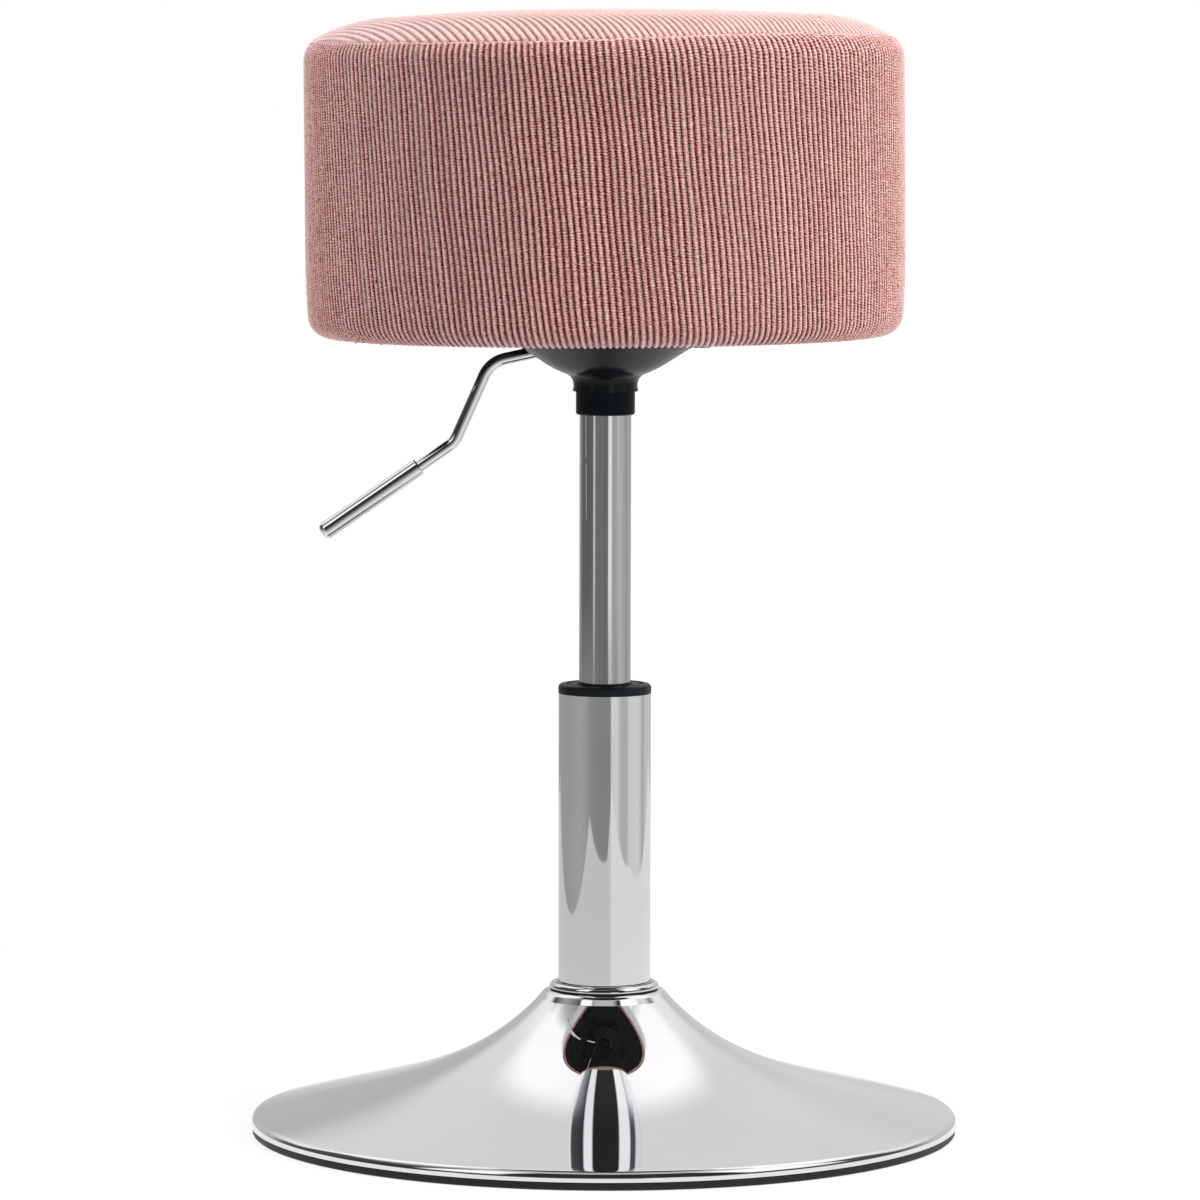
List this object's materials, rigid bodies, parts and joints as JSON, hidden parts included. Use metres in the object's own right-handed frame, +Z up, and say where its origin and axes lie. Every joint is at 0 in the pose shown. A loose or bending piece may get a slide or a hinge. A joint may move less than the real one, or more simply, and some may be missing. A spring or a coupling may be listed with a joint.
{
  "type": "bar stool",
  "caption": "Height-adjustable swivel bar stool with a round corduroy cushion seat, gas-lift chrome column, bent release lever and a trumpet-shaped chrome base.",
  "frame": {"origin": "on the floor at the middle of the base, on the column's axis", "axes": "+Z up along the column, -X the way the lever points, -Y the side seen in the picture"},
  "size_m": [0.385, 0.385, 0.61],
  "materials": {
    "chrome": "polished",
    "black_rubber": "matte",
    "black_plastic": "satin",
    "charcoal_plastic": "semi-gloss",
    "black_paint": "satin",
    "steel": "zinc plated",
    "aluminium": "machined",
    "plywood": "bare",
    "foam": "open cell",
    "corduroy": "dusty pink wide-wale corduroy",
    "dust_cloth": "nonwoven"
  },
  "bodies": {
    "base": {"base_shell": "chrome", "base_edge_ring": "black_rubber", "base_hub_sleeve": "steel", "base_brace_plate": "steel", "trim_ring_gasket": "black_rubber", "base_trim_ring": "chrome", "outer_tube": "chrome", "tube_end_plate": "steel", "guide_bush": "black_plastic", "wiper_ring": "black_rubber", "bearing_lower_race": "steel"},
    "spindle": {"bearing_balls": "steel", "bearing_cage": "black_plastic", "bearing_upper_race": "steel", "rod_bumper": "black_rubber", "piston_rod": "steel", "piston": "aluminium", "piston_ring": "black_plastic", "rod_washer": "steel", "rod_clip": "steel"},
    "seat": {"gas_cylinder": "chrome", "rod_guide": "black_plastic", "rod_seal": "black_rubber", "valve_block": "steel", "seat_hub": "black_paint", "bell_cover": "charcoal_plastic", "hub_cup": "black_paint", "seat_plate": "black_paint", "bell_screws": "steel", "plate_washers": "steel", "plate_bolts": "steel", "tee_nuts": "steel", "lever_bracket": "black_paint", "lever_pivot_pin": "steel", "seat_board": "plywood", "foam_core": "foam", "side_band": "corduroy", "top_panel": "corduroy", "dust_cover": "dust_cloth", "staples": "steel"},
    "lever": {"lever_rod": "chrome", "lever_grip": "chrome", "grip_end_cap": "chrome"},
    "release_pin": {"release_pin": "steel"}
  },
  "joints": [
    {"name": "swivel", "type": "hinge", "parent": "base", "child": "spindle", "pos_m": [0, 0, 0], "axis": [0, 0, 1], "continuous": true},
    {"name": "height_slide", "type": "slide", "parent": "spindle", "child": "seat", "axis": [0, 0, 1], "range_m": [-0.125, 0]},
    {"name": "lever_hinge", "type": "hinge", "parent": "seat", "child": "lever", "pos_m": [-0.025, 0, 0.426], "axis": [0, 1, 0], "range_deg": [0, 8], "stiffness_Nm_per_rad": 4, "springref_deg": -28.65},
    {"name": "pin_slide", "type": "slide", "parent": "seat", "child": "release_pin", "axis": [0, 0, -1], "range_m": [0, 0.0036]}
  ],
  "couplings": [
    {"joint": "pin_slide", "follows": "lever_hinge", "m_per_rad": 0.0255}
  ]
}
